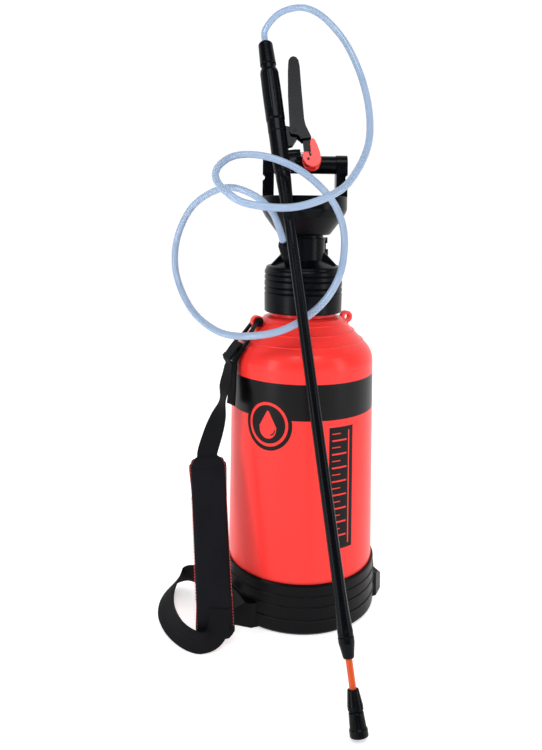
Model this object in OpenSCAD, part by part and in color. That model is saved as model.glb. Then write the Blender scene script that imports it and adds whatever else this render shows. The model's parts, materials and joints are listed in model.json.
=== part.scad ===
// Pump-up compression sprayer for gardens: a pressure tank on a foot boot, a piston pump
// with a funnel handle, a hose, a telescopic spray wand and a shoulder strap.
// Origin: on the floor under the tank's axis. +Z is up, and -Y is the front.

/* [Tank] */
// Radius of the tank just above the boot
tank_r = 94.8; // [92:0.2:96]
// Thickness of the blown tank wall
tank_wall = 2.8; // [2:0.2:4]
// Height at which the straight wall turns into the shoulder
shoulder_z = 318; // [314:1:320]
// Radius of the shoulder's upper bend
shoulder_bend_r = 30; // [26:1:34]
// Outer radius of the filler neck
neck_r = 43; // [42:0.2:43.4]
// Height of the strap eyelets' holes
eyelet_z = 369; // [367:1:371]
// Radius of the hole in a strap eyelet
eyelet_bore_r = 4; // [3.6:0.1:4.4]
// Direction of the left eyelet and foot, the right ones are opposite
strap_azimuth = 205; // [202:1:208]

/* [Boot] */
// Outer radius of the foot boot
boot_r = 98; // [97.8:0.1:100]
// Height of the boot's top edge
boot_h = 61; // [58:1:64]
// Reach of the boot's feet from the axis
foot_reach = 115; // [112:1:118]

/* [Pump] */
// Outer radius of the screw collar
collar_r = 51.4; // [50.5:0.1:52]
// Height of the collar's lower edge
collar_z = 380; // [379:1:381]
// Outer radius of the pump cylinder
cylinder_r = 20; // [19:0.5:21]
// Radius of the pump rod
rod_r = 6; // [5:0.5:7]
// Radius of the funnel handle's rim
bowl_r = 57; // [55:0.5:58]
// Length of the grip bar
grip_l = 112; // [108:1:114]

/* [Wand] */
// Lean of the wand towards the tank, in degrees
wand_lean = 20.6; // [20.4:0.1:20.8]
// Sideways lean of the wand, in degrees
wand_tilt = 7.5; // [7.3:0.1:7.7]
// Radius of the lance's outer tube
lance_r = 6.5; // [6:0.1:7]
// Radius of the telescopic inner tube
inner_r = 3.5; // [3:0.1:3.8]
// Radius of the nozzle's ring
nozzle_r = 9.25; // [8.5:0.05:9.5]
// Radius of the wand's grip
grip_r = 12.4; // [12:0.1:12.8]

/* [Hose and strap] */
// Outside diameter of the hose
hose_d = 9; // [8:0.1:10]
// Width of the strap webbing
web_w = 25; // [22:1:25]
// Thickness of the strap webbing
web_t = 2.2; // [1.6:0.1:2.6]

/* [Hidden] */
$fn = 96;

black = [0.06, 0.065, 0.075];
coral = [1, 0.29, 0.26];
steel = [0.75, 0.76, 0.78];
rubber = [0.12, 0.12, 0.12];
fit = 0.06;

// Tank
floor_t = 4;
tank_z = 5;
tank_base_r = 12;
tank_lower_r = boot_r - 3.6;
neck_z = 410;
slope = 46;
seat_r = 52;

// Pump
collar_top = 441.4;
barrel_r = 28;
barrel_top = 477.6;
cylinder_z = 190;
cylinder_top = 470;
cylinder_wall = 2;
rod_top = 495;
bowl_z = 482;
rim_z = 533;
bar_z = 575;
bar_r = 12;
arm_in = 41;
arm_out = 56;
outlet_azimuth = 235;
outlet_tilt = 30;
outlet_r = 32;
outlet_z = 444;
outlet_l = 34;
relief_azimuth = 33;
relief_r = 35;

// Wand: heights along its own axis, from the nozzle's end
foot_x = 48.3;
foot_y = -260;
axis_z = cos(wand_lean) * cos(wand_tilt);
foot_z = nozzle_r * sqrt(1 - axis_z * axis_z);
holder_top = 40;
nut_low = 66.5;
nut_top = 86;
lance_top = 600;
valve_top = 674;
grip_top = 750;
cap_low = 758;
cap_top = 794.5;
stem_s = 624;
pivot_x = 22;
pivot_s = 655;
clip_x = 34;
clip_s = 613;

// Places one shape on the wand's own axis
module on_wand() {
    translate([foot_x, foot_y, foot_z])
        rotate([-wand_lean, 0, 0]) rotate([0, -wand_tilt, 0]) children();
}

// The same move for a point
function wand_point(s) = [
    foot_x - s * sin(wand_tilt),
    foot_y + s * cos(wand_tilt) * sin(wand_lean),
    foot_z + s * axis_z
];

// Places one shape on the hose outlet's own axis
module on_outlet() {
    rotate([0, 0, outlet_azimuth]) translate([outlet_r, 0, outlet_z])
        rotate([0, outlet_tilt, 0]) children();
}

// A ring turned from an outline: r0 to r1 and z0 to z1
module ring(r0, r1, z0, z1) {
    translate([0, 0, z0]) difference() {
        cylinder(r = r1, h = z1 - z0);
        translate([0, 0, -1]) cylinder(r = r0, h = z1 - z0 + 2);
    }
}

// Shallow flutes round a cylinder or cone, to be cut away
module flutes(count, r, size, z0, z1) {
    for (i = [0:count - 1])
        rotate([0, 0, i * 360 / count]) translate([r, 0, z0])
            cylinder(r = size, h = z1 - z0, $fn = 16);
}

// ---- tank ----

// Outline of the tank inset by t, from the axis at the base to the axis at the neck
function tank_outline(t) = let (
        r = tank_r - t,
        b = shoulder_bend_r - t,
        c = shoulder_bend_r
    ) concat(
        [[0, tank_z + t]],
        [for (a = [-90:15:0]) [tank_lower_r - tank_base_r + (tank_base_r - t) * cos(a),
                               tank_z + tank_base_r + (tank_base_r - t) * sin(a)]],
        [[tank_lower_r - t, boot_h - 4], [r, boot_h + 1]],
        [for (a = [0:slope / 6:slope]) [tank_r - 1.4 - c + b * cos(a), shoulder_z + b * sin(a)]],
        [[seat_r - t, 372.5 - t * 0.4], [neck_r - t, 375 - t * 0.4], [neck_r - t, neck_z]],
        [[0, neck_z]]
    );

module eyelet() {
    translate([67, 0, eyelet_z]) rotate([90, 0, 0]) cylinder(r = 8, h = 8, center = true);
    translate([55, -4, eyelet_z - 18]) cube([14, 8, 18]);
}

module tank_shell() {
    color(coral) difference() {
        union() {
            rotate_extrude() polygon(tank_outline(0));
            for (side = [0, 180]) rotate([0, 0, strap_azimuth + side]) eyelet();
            // raised steps on the shoulder
            for (step = [[79.3, 344], [67.6, 356], [57, 367]])
                rotate_extrude() translate(step) circle(r = 1.5, $fn = 24);
            // two turns of the neck's thread, drawn as plain rings
            for (z = [386, 394]) rotate_extrude() translate([neck_r, z]) circle(r = 1.2, $fn = 24);
        }
        rotate_extrude() polygon(concat(tank_outline(tank_wall), [[0, neck_z + 1], [0, tank_z + 9]]));
        translate([0, 0, 380]) cylinder(r = neck_r - tank_wall, h = 60);
        for (side = [0, 180]) rotate([0, 0, strap_azimuth + side])
            translate([67, 0, eyelet_z]) rotate([90, 0, 0])
                cylinder(r = eyelet_bore_r, h = 20, center = true);
    }
}

// One foot of the boot: a wide wedge with a slot for the strap
module foot() {
    intersection() {
        linear_extrude(height = 34) polygon([
            [80, -50], [91, -49], [foot_reach - 8, -35], [foot_reach, -20],
            [foot_reach, 20], [foot_reach - 8, 35], [91, 49], [80, 50]
        ]);
        rotate([90, 0, 0]) linear_extrude(height = 110, center = true)
            polygon([[78, 0], [foot_reach, 0], [foot_reach, 14], [97, 30], [78, 30]]);
    }
}

module boot() {
    color(black) difference() {
        union() {
            rotate_extrude() polygon([
                [0, 0], [boot_r - 3, 0], [boot_r, 3], [boot_r, boot_h - 2], [boot_r - 0.8, boot_h],
                [tank_r + 0.4, boot_h], [tank_r + 0.2, boot_h], [0, boot_h]
            ]);
            for (z = [18, 33.5, 46.7])
                rotate_extrude() translate([boot_r - 0.4, z]) circle(r = 1.4, $fn = 24);
            for (side = [0, 180]) rotate([0, 0, strap_azimuth + side]) foot();
        }
        rotate_extrude() polygon(concat(
            [[0, floor_t]],
            [for (a = [-90:15:0]) [tank_lower_r - tank_base_r + (tank_base_r + 0.3) * cos(a),
                                   tank_z + tank_base_r + (tank_base_r + 0.3) * sin(a)]],
            [[tank_lower_r + 0.3, boot_h - 4], [tank_r + 0.3, boot_h + 1], [0, boot_h + 1]]
        ));
        for (side = [0, 180]) rotate([0, 0, strap_azimuth + side])
            translate([102, -15, -1]) cube([6, 30, 40]);
    }
}

// ---- pump ----

module pump_collar() {
    color(black) difference() {
        union() {
            difference() {
                union() {
                    rotate_extrude() polygon(concat(
                        [[0, collar_z], [collar_r - 1, collar_z], [collar_r, collar_z + 1],
                         [collar_r + 0.4, 403]],
                        [for (z = [406, 413, 422, 429]) each [[collar_r + 0.5, z - 1.5], [collar_r - 1, z],
                                                         [collar_r + 0.5, z + 1.5],
                                                         [collar_r + 0.5, z + 5]]],
                        [for (a = [0:15:90]) [collar_r - 6 + 5 * cos(a), collar_top - 5 + 5 * sin(a)]],
                        [[42, collar_top], [barrel_r, 449], [barrel_r, barrel_top - 3],
                         [barrel_r + 0.8, barrel_top - 3], [barrel_r + 0.8, barrel_top], [0, barrel_top]]
                    ));
                    // gusset ribs from the collar up to the barrel
                    for (a = [-12, 55, 125, 192]) rotate([0, 0, a]) rotate([90, 0, 0])
                        linear_extrude(height = 4, center = true)
                            polygon([[20, 430], [46, 430], [46, 440.6], [28, 459], [20, 459]]);
                    on_outlet() translate([0, 0, -6]) cylinder(r = 7.4, h = 14);
                    rotate([0, 0, relief_azimuth]) translate([relief_r, 0, 432]) cylinder(r = 7, h = 12);
                }
                // thread space round the tank's neck
                translate([0, 0, collar_z - 1]) cylinder(r = neck_r + 1.5, h = 414 - collar_z);
                // hollow under the cone
                rotate_extrude() polygon([[0, 412], [38, 412], [38, 430], [barrel_r - 4, 442],
                                          [barrel_r - 4, 466], [0, 466]]);
            }
            // socket for the dip tube
            rotate([0, 0, outlet_azimuth]) translate([30, 0, 424]) cylinder(r = 5.7, h = 17);
        }
        translate([0, 0, 400]) cylinder(r = cylinder_r + fit, h = 100);
        rotate([0, 0, outlet_azimuth]) translate([30, 0, 420]) cylinder(r = 3.5 + fit, h = 14.5);
        rotate([0, 0, outlet_azimuth]) translate([30, 0, 430]) cylinder(r = 1.8, h = 11);
        on_outlet() translate([0, 0, -5.5]) cylinder(r = 2.5, h = 40);
        rotate([0, 0, relief_azimuth]) translate([relief_r, 0, 420]) cylinder(r = 5, h = 40);
    }
}

module collar_seal() {
    color(rubber) ring(neck_r - 5, neck_r, neck_z, 413);
}

module pump_cylinder() {
    color([0.85, 0.85, 0.83]) difference() {
        union() {
            translate([0, 0, cylinder_z]) cylinder(r = cylinder_r, h = cylinder_top - cylinder_z);
            // flange that hangs it in the collar
            translate([0, 0, 461]) cylinder(r = 23.6, h = 5);
        }
        translate([0, 0, cylinder_z + 4])
            cylinder(r = cylinder_r - cylinder_wall, h = cylinder_top - cylinder_z);
        for (a = [0:60:300]) rotate([0, 0, a]) translate([7, 0, cylinder_z - 1])
            cylinder(r = 1.5, h = 8, $fn = 16);
        translate([0, 0, cylinder_z - 1]) cylinder(r = 2.06, h = 8);
    }
}

module rod_guide() {
    color(black) difference() {
        union() {
            translate([0, 0, cylinder_top]) cylinder(r = cylinder_r - 0.2, h = barrel_top - cylinder_top);
            translate([0, 0, barrel_top]) cylinder(r = 26, h = 4);
        }
        translate([0, 0, cylinder_top - 1]) cylinder(r = rod_r + fit, h = 20);
    }
}

module check_valve() {
    color(rubber) {
        translate([0, 0, cylinder_z - 3]) cylinder(r = 11, h = 3);
        translate([0, 0, cylinder_z - 1]) cylinder(r = 2, h = 7);
        translate([0, 0, cylinder_z + 4]) cylinder(r = 3.4, h = 3);
    }
}

piston_z = 205;

module pump_rod() {
    color(steel) {
        translate([0, 0, piston_z]) cylinder(r = rod_r, h = rod_top - piston_z);
        translate([0, 0, 200]) cylinder(r = 9, h = 5);
    }
}

module piston() {
    color(black) difference() {
        translate([0, 0, piston_z]) cylinder(r = cylinder_r - cylinder_wall - 0.5, h = 18);
        translate([0, 0, piston_z - 1]) cylinder(r = rod_r, h = 22);
        ring(14.5, 30, piston_z + 6, piston_z + 12);
    }
}

module piston_ring() {
    color(rubber) ring(14.5, cylinder_r - cylinder_wall - fit, piston_z + 6.4, piston_z + 11.6);
}

// ---- pump handle ----

module handle_bowl() {
    color(black) difference() {
        union() {
            rotate_extrude() polygon([
                [0, bowl_z], [33.5, bowl_z], [35.6, bowl_z + 1.5], [51.7, 505], [55.6, 512], [bowl_r, 516],
                [bowl_r, rim_z - 1], [bowl_r - 1, rim_z], [bowl_r - 2.4, rim_z], [bowl_r - 2.4, 517],
                [52.8, 513], [49.4, 507], [34, bowl_z + 3], [0, bowl_z + 3]
            ]);
            translate([0, 0, bowl_z]) cylinder(r = 11, h = 17);
            // ribs inside the funnel
            for (a = [90, 270]) rotate([0, 0, a]) translate([9, -1.5, bowl_z + 1]) cube([26, 3, 8]);
            // blocks in the rim that carry the arms
            for (side = [0, 180]) rotate([0, 0, side]) intersection() {
                translate([arm_in, -15, 504]) cube([30, 30, rim_z - 504]);
                translate([0, 0, 500]) cylinder(r = bowl_r, h = 40);
                rotate_extrude() polygon([[0, 498], [46.5, 498], [51, 504.5], [55, 512], [bowl_r, 516],
                                          [bowl_r, 540], [0, 540]]);
            }
        }
        translate([0, 0, bowl_z - 1]) cylinder(r = rod_r + fit, h = rod_top - bowl_z + 1.3);
    }
}

// One arm of the grip: a ribbed channel with its flanges front and back
module arm() {
    difference() {
        union() {
            translate([arm_in, -13, rim_z]) cube([arm_out - arm_in, 26, bar_z - rim_z]);
            translate([arm_in, 0, bar_z]) rotate([0, 90, 0]) cylinder(r = bar_r + 1, h = arm_out - arm_in);
        }
        // channels front and back
        for (y = [-14, 4]) translate([arm_in + 3, y, rim_z + 3])
            cube([arm_out - arm_in - 6, 10, bar_z - rim_z - 14]);
        // notch in the outer edge
        translate([arm_out + 1, 0, 557]) rotate([90, 0, 0]) cylinder(r = 4, h = 40, center = true);
        translate([arm_in - 1, 0, bar_z]) rotate([0, 90, 0]) cylinder(r = 7, h = 30);
    }
}

module handle_arms() {
    color(black) for (side = [0, 180]) rotate([0, 0, side]) arm();
}

module grip_sleeve() {
    color(black) translate([0, 0, bar_z]) rotate([0, 90, 0]) {
        cylinder(r = bar_r, h = 2 * arm_in, center = true);
        cylinder(r = 7, h = grip_l, center = true);
    }
}

// ---- relief valve ----

module on_relief() {
    rotate([0, 0, relief_azimuth]) translate([relief_r, 0, 0]) children();
}

module relief_body() {
    color(black) on_relief() difference() {
        translate([0, 0, 430]) cylinder(r = 5, h = 32);
        translate([0, 0, 429]) cylinder(r = 2 + fit, h = 40);
        translate([0, 0, 434]) cylinder(r = 3.8, h = 24);
    }
}

module relief_stem() {
    color([0.1, 0.1, 0.11]) on_relief() {
        translate([0, 0, 428]) cylinder(r = 2, h = 44);
        translate([0, 0, 436]) cylinder(r = 3.6, h = 3);
        difference() {
            translate([0, 0, 470]) cylinder(r = 4, h = 8);
            for (a = [0:45:315]) rotate([0, 0, a]) translate([4.4, 0, 469])
                cylinder(r = 0.8, h = 10, $fn = 16);
        }
    }
}

// Coil spring round an axis: a square-ish wire swept on a helix
module coil(r, wire, h, turns, steps = 12) {
    count = turns * steps;
    angles = [0:count];
    sides = 6;
    points = [for (i = angles) let (a = i * 360 / steps, z = wire + i * (h - 2 * wire) / count)
              for (k = [0:sides - 1]) let (b = k * 360 / sides)
              [(r + wire * cos(b)) * cos(a), (r + wire * cos(b)) * sin(a), z + wire * sin(b)]];
    walls = [for (i = [0:count - 1]) for (k = [0:sides - 1]) let (n = (k + 1) % sides)
             [i * sides + k, (i + 1) * sides + k, (i + 1) * sides + n, i * sides + n]];
    first = [for (k = [0:sides - 1]) k];
    last = [for (k = [sides - 1:-1:0]) count * sides + k];
    polyhedron(points, concat(walls, [first], [last]));
}

module relief_spring() {
    color(steel) on_relief() translate([0, 0, 439.2]) coil(2.9, 0.5, 18.6, 6);
}

// ---- hose outlet, dip tube and hose ----

module hose_nipple() {
    color(black) on_outlet() difference() {
        union() {
            translate([0, 0, -5.5]) cylinder(r = 2.5, h = 37.5);
            translate([0, 0, 8]) cylinder(r = 4.4, h = 2);
            for (s = [14, 19, 24]) translate([0, 0, s]) cylinder(r1 = 3.2, r2 = 2.5, h = 4);
        }
        translate([0, 0, -9]) cylinder(r = 1.6, h = 50);
    }
}

module hose_nut() {
    color(black) on_outlet() difference() {
        union() {
            translate([0, 0, 8.3]) cylinder(r = 8, h = outlet_l - 12.3);
            translate([0, 0, outlet_l - 4]) cylinder(r1 = 8, r2 = 6.2, h = 4);
        }
        translate([0, 0, 8]) cylinder(r = 4.4 + fit, h = 3);
        translate([0, 0, 10]) cylinder(r = 3.4, h = 40);
        flutes(12, 8.9, 1.6, 7, outlet_l + 2);
    }
}

module dip_tube() {
    color([0.8, 0.8, 0.78]) rotate([0, 0, outlet_azimuth]) translate([30, 0, 24]) difference() {
        cylinder(r = 3.5, h = 410);
        translate([0, 0, -1]) cylinder(r = 2.3, h = 420);
    }
}

module strainer() {
    color(black) rotate([0, 0, outlet_azimuth]) translate([30, 0, 9]) difference() {
        cylinder(r = 7, h = 24);
        translate([0, 0, -1]) cylinder(r = 5, h = 16);
        translate([0, 0, 14]) cylinder(r = 3.5, h = 16);
        for (a = [0:45:315]) rotate([0, 0, a]) translate([3, -1, 3]) cube([8, 2, 9]);
    }
}

// The hose's centreline, from the outlet nut to the cap on the wand
hose_route = [
    [-34, -49, 492], [-44, -58, 513], [-66, -60, 532], [-98, -46, 542], [-131, -21, 531],
    [-155, -2, 509], [-171, 9, 472], [-172, 6, 433], [-158, -12, 399], [-135, -38, 374],
    [-101, -70, 360], [-61, -93, 362], [-21, -102, 374], [17, -94, 400], [40, -80, 434],
    [47, -70, 470], [43, -68, 502], [27, -73, 531], [-1, -79, 557], [-31, -78, 573],
    [-62, -74, 581], [-90, -79, 579], [-107, -96, 566], [-109, -118, 550], [-96, -137, 534],
    [-70, -147, 520], [-18, -150, 517], [31, -133, 535], [56, -110, 561], [73, -84, 598],
    [76, -58, 642], [68, -34, 689], [50, -14, 735], [24, 1, 770], [0, 14, 787],
    [-23, 22, 788], [-42, 26, 779], [-56, 24, 759]
];

function outlet_point(s) = let (r = outlet_r + s * sin(outlet_tilt))
    [r * cos(outlet_azimuth), r * sin(outlet_azimuth), outlet_z + s * cos(outlet_tilt)];

// A smooth curve through points p, with n steps between each two
function through(p, n) = let (
        q = concat([2 * p[0] - p[1]], p, [2 * p[len(p) - 1] - p[len(p) - 2]])
    ) concat(
        [for (i = [1:len(p) - 1]) for (k = [0:n - 1]) let (t = k / n,
            a = q[i - 1], b = q[i], c = q[i + 1], d = q[i + 2])
            (2 * b + (c - a) * t + (2 * a - 5 * b + 4 * c - d) * t * t
             + (3 * b - a - 3 * c + d) * t * t * t) / 2],
        [p[len(p) - 1]]
    );

function unit(v) = v / norm(v);

// Direction of travel at point i of a line
function heading(p, i) = unit(p[min(i + 1, len(p) - 1)] - p[max(i - 1, 0)]);

// A side vector carried along the line without twisting
function carried(p, v, i = 0) = i == len(p) ? [] : let (
        t = heading(p, i),
        u = unit(v - (v * t) * t)
    ) concat([u], carried(p, u, i + 1));

// A round tube swept along line p
module tube(p, r, sides, start) {
    side = carried(p, start);
    points = [for (i = [0:len(p) - 1]) let (t = heading(p, i), u = side[i], w = cross(t, u))
              for (k = [0:sides - 1]) let (a = k * 360 / sides)
              p[i] + r * cos(a) * u + r * sin(a) * w];
    walls = [for (i = [0:len(p) - 2]) for (k = [0:sides - 1]) let (n = (k + 1) % sides)
             [i * sides + k, (i + 1) * sides + k, (i + 1) * sides + n, i * sides + n]];
    first = [for (k = [0:sides - 1]) k];
    last = [for (k = [sides - 1:-1:0]) (len(p) - 1) * sides + k];
    polyhedron(points, concat(walls, [first], [last]));
}

module hose() {
    route = concat([outlet_point(outlet_l + 0.15)], hose_route, [wand_point(cap_top + 0.6)]);
    color([0.62, 0.75, 0.9]) tube(through(route, 2), hose_d / 2, 10, [0, 0, 1]);
}

// ---- wand ----

module hose_cap() {
    color(black) on_wand() rotate_extrude() polygon(concat(
        [[3.4, cap_low], [10.4, cap_low], [10.9, cap_low + 1], [9.9, cap_top - 7]],
        [for (a = [0:15:75]) [4.9 + 5 * cos(a), cap_top - 5 + 5 * sin(a)]],
        [[4.9, cap_top], [3.4, cap_top]]
    ));
}

module wand_grip() {
    color(black) on_wand() difference() {
        rotate_extrude() polygon([
            [6, valve_top], [11.6, valve_top], [grip_r, valve_top + 2], [grip_r + 0.3, 713],
            [grip_r, grip_top - 4], [grip_r - 0.8, grip_top], [9.7, grip_top + 0.5], [9.7, cap_low],
            [6, cap_low]
        ]);
        flutes(14, grip_r + 1.3, 1.5, valve_top + 14, grip_top - 6);
    }
}

module grip_filter() {
    color([0.9, 0.9, 0.88]) on_wand() difference() {
        union() {
            translate([0, 0, 690]) cylinder(r = 4.2, h = 60);
            translate([0, 0, 686]) cylinder(r = 5.9, h = 4);
        }
        translate([0, 0, 684]) cylinder(r = 2.6, h = 60);
    }
}

module valve_body() {
    color(black) on_wand() difference() {
        union() {
            rotate_extrude() polygon([
                [4, lance_top + 0.1], [9.6, lance_top + 0.1], [10.6, lance_top + 2], [11.2, 612], [11.5, 634],
                [11.5, 656.4], [11, 657], [11, 657.6], [11.8, 658.2], [11.8, valve_top - 1],
                [11.4, valve_top - 0.05], [4, valve_top - 0.05]
            ]);
            translate([0, 0, stem_s]) rotate([0, 90, 0]) cylinder(r = 6.8, h = 21);
            // ear for the lever's pin
            rotate([90, 0, 0]) linear_extrude(height = 6, center = true)
                polygon([[6, 634], [17, 636], [23, 644], [27.6, 655], [26, 659.6], [22, 661], [6, 667]]);
            // web under the barrel
            rotate([90, 0, 0]) linear_extrude(height = 8, center = true)
                polygon([[6, 604], [13, 606], [20, 619], [6, 619]]);
        }
        // valve chamber, and the port that the stem's head closes
        translate([3, 0, stem_s]) rotate([0, 90, 0]) cylinder(r = 4.3, h = 30);
        translate([-3, 0, stem_s]) rotate([0, 90, 0]) cylinder(r = 2.8, h = 10);
        translate([pivot_x, 0, pivot_s]) rotate([90, 0, 0]) cylinder(r = 2, h = 20, center = true);
        // ways in from the grip, behind the head, and out to the lance
        translate([0, 0, 642]) cylinder(r = 6, h = 40);
        translate([7, 0, stem_s]) cylinder(r = 2.2, h = 22);
        translate([0, 0, 594]) cylinder(r = 2.8, h = 30);
    }
}

module valve_gland() {
    color(black) on_wand() translate([21, 0, stem_s]) rotate([0, 90, 0]) difference() {
        union() {
            cylinder(r = 6.4, h = 4.4);
            translate([0, 0, -3]) cylinder(r = 4.24, h = 4);
        }
        translate([0, 0, -4]) cylinder(r = 2 + fit, h = 12);
        flutes(8, 6.9, 1, -0.1, 5);
    }
}

module valve_stem() {
    color(steel) on_wand() translate([0, 0, stem_s]) rotate([0, 90, 0]) {
        translate([0, 0, 4]) cylinder(r = 2, h = 36);
        translate([0, 0, 3]) cylinder(r = 4.2, h = 1.8);
        translate([0, 0, 38.6]) cylinder(r = 3.6, h = 2.3);
    }
}

module valve_spring() {
    color(steel) on_wand() translate([4.9, 0, stem_s]) rotate([0, 90, 0]) coil(3.4, 0.5, 12.9, 5);
}

module lever_pin() {
    color(steel) on_wand() translate([pivot_x, 0, pivot_s]) rotate([90, 0, 0])
        cylinder(r = 2, h = 15.4, center = true);
}

// Side view of the lever above its tongue
lever_outline = [
    [16.2, 650.5], [15.6, 655], [16.8, 662], [20.9, 713], [25.6, 751.5], [27, 758.5], [30, 762.9], [34, 764.5],
    [38, 762.5], [40.3, 757.5], [40.8, 748.5], [38.4, 711], [36.2, 669], [37, 660], [41.6, 644],
    [41.6, 635], [37.5, 630], [30.5, 630], [30.6, 636], [29, 643], [25, 647.8], [20.5, 649.4]
];

module trigger_lever() {
    color(black) on_wand() difference() {
        union() {
            difference() {
                rotate([90, 0, 0]) linear_extrude(height = 15, center = true) polygon(lever_outline);
                // channel that opens towards the grip
                rotate([90, 0, 0]) linear_extrude(height = 10, center = true) polygon([
                    [8, 634], [30.2, 634], [33.4, 646], [33.2, 669], [35.3, 711], [37.4, 749.5], [35, 758.5],
                    [31, 759.5], [20, 759.5], [8, 693]
                ]);
                for (side = [-1, 1]) translate([30, side * 9.5, 622]) cube([32, 11, 40], center = true);
            }
            // tongue that pulls the valve stem
            rotate([90, 0, 0]) linear_extrude(height = 8, center = true) polygon([
                [30.5, 609], [31.5, 608], [36.5, 608], [37.5, 609], [37.5, 628], [41.6, 635], [41.6, 644],
                [38.6, 653], [33.5, 654], [31.5, 644], [30.5, 636]
            ]);
        }
        translate([pivot_x, 0, pivot_s]) rotate([90, 0, 0]) cylinder(r = 2 + fit, h = 30, center = true);
        translate([28, -2.6, stem_s - 4.6]) cube([12, 5.2, 8.6]);
        translate([clip_x, 0, clip_s]) rotate([90, 0, 0]) cylinder(r = 1.6, h = 30, center = true);
    }
}

module clip_pin() {
    color(steel) on_wand() translate([clip_x, 0, clip_s]) rotate([90, 0, 0])
        cylinder(r = 1.6, h = 15.2, center = true);
}

// Side view of the lock clip: an inner and an outer lobe over the tongue
clip_outline = [
    [36.4, 601.6], [30, 606.5], [26.9, 614.5], [27.3, 620], [30.6, 623.4], [35, 623], [36.4, 616.6],
    [38.2, 616.6], [38.8, 633], [40, 639], [42.8, 641.3], [45.4, 639.4], [47.6, 632], [49.6, 621],
    [50, 610.5], [46.4, 604.4], [41, 601.8]
];

module lock_clip() {
    color(coral) on_wand() difference() {
        union() {
            for (side = [-1, 1]) translate([0, side * 6, 0]) rotate([90, 0, 0])
                linear_extrude(height = 3, center = true) polygon(clip_outline);
            rotate([90, 0, 0]) linear_extrude(height = 12, center = true)
                polygon([[41, 601.9], [46.4, 604.5], [49.9, 610.5], [49.6, 616], [41, 616]]);
        }
        translate([clip_x, 0, clip_s]) rotate([90, 0, 0]) cylinder(r = 1.6 + fit, h = 30, center = true);
    }
}

module lance_tube() {
    color(black) on_wand() difference() {
        rotate_extrude() polygon([
            [5, nut_top], [8.1, nut_top], [8.1, 90], [7.2, 104], [lance_r, 126], [lance_r, 534],
            [7.1, 542], [8.3, 566], [9.6, 592], [9.6, lance_top], [5, lance_top]
        ]);
        for (i = [0:5]) rotate([0, 0, i * 60 + 30]) {
            translate([9.4, 0, 90]) rotate([0, 2.4, 0]) cylinder(r = 2, h = 34, $fn = 24);
            translate([8.9, 0, 542]) rotate([0, 2.6, 0]) cylinder(r = 2, h = 48, $fn = 24);
        }
    }
}

module lance_seal() {
    color(rubber) on_wand() ring(inner_r + fit, 5, nut_top + 1, nut_top + 5);
}

module lance_nut() {
    color(black) on_wand() difference() {
        rotate_extrude() polygon([
            [inner_r + 0.1, nut_low], [5.2, nut_low], [5.8, nut_low + 1], [7.4, 76], [8.3, 80], [8.4, nut_top - 1],
            [8.1, nut_top - 0.3], [inner_r + 0.1, nut_top - 0.3]
        ]);
        for (i = [0:9]) rotate([0, 0, i * 36]) translate([8.2, 0, nut_low]) rotate([0, 5, 0])
            cylinder(r = 1, h = 17, $fn = 16);
    }
}

module inner_tube() {
    color([0.95, 0.42, 0.1]) on_wand() ring(2.3, inner_r, 24, 420);
}

module nozzle_holder() {
    color(black) on_wand() difference() {
        rotate_extrude() polygon([
            [0, 11], [6.5, 11], [6.6, 21.5], [7.9, 22.5], [7.9, 26], [5.9, holder_top - 1], [5.4, holder_top],
            [0, holder_top]
        ]);
        translate([0, 0, 24]) cylinder(r = inner_r, h = 30);
        translate([0, 0, 8]) cylinder(r = 1.8, h = 30);
        for (i = [0:7]) rotate([0, 0, i * 45]) translate([8.5, 0, 23]) rotate([0, -7, 0])
            cylinder(r = 1.1, h = 20, $fn = 16);
    }
}

module nozzle_ring() {
    color(black) on_wand() difference() {
        rotate_extrude() polygon([
            [2.5, 0], [nozzle_r - 0.8, 0], [nozzle_r, 0.8], [nozzle_r, 6.5], [8.3, 8], [7.6, 20], [7.2, 20.8],
            [6.65, 20.8], [6.65, 9], [2.5, 9]
        ]);
        flutes(12, 8.7, 1, 8.5, 22);
        translate([0, 0, -1]) cylinder(r = 4, h = 3);
    }
}

module nozzle_insert() {
    color([0.15, 0.15, 0.16]) on_wand() difference() {
        translate([0, 0, 2]) cylinder(r = 2.4, h = 8.9);
        translate([0, 0, 1]) cylinder(r = 0.6, h = 20);
    }
}

// ---- strap ----

hook_slope = 50.6;
hook_l = 59;
hook_half = 14;
pin_r = eyelet_bore_r - fit;

// Places one shape in the hook's own frame: +X down its length, +Y across it, from the eyelet
module on_hook() {
    rotate([0, 0, strap_azimuth]) translate([67, 0, eyelet_z]) rotate([0, hook_slope, 0]) children();
}

module strap_hook() {
    color(black) on_hook() difference() {
        union() {
            for (side = [-1, 1]) {
                translate([0, side * 6.2, 0]) rotate([90, 0, 0]) cylinder(r = 6, h = 3.6, center = true);
                hull() {
                    translate([3, side * 6.2 - 1.8, 0]) cube([4, 3.6, 4]);
                    translate([26, side * 10 - 2, -1]) cube([4, 4, 4]);
                }
            }
            // frame with three bars for the webbing
            translate([26, -hook_half - 3, -1]) cube([5, 2 * hook_half + 6, 4]);
            for (side = [-1, 1]) translate([26, side * (hook_half + 1.5) - 1.5, -1])
                cube([hook_l - 26, 3, 4]);
            translate([42, -hook_half - 2, -0.5]) cube([3.4, 2 * hook_half + 4, 3]);
            translate([hook_l - 4, -hook_half - 3, -2]) cube([5, 2 * hook_half + 6, 6]);
        }
        rotate([90, 0, 0]) cylinder(r = pin_r, h = 30, center = true);
    }
}

module hook_pin() {
    color(black) on_hook() rotate([90, 0, 0]) difference() {
        cylinder(r = pin_r, h = 16.4, center = true);
        for (side = [-1, 1]) translate([0, 0, side * 8]) cylinder(r = 2.2, h = 4, center = true);
    }
}

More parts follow.
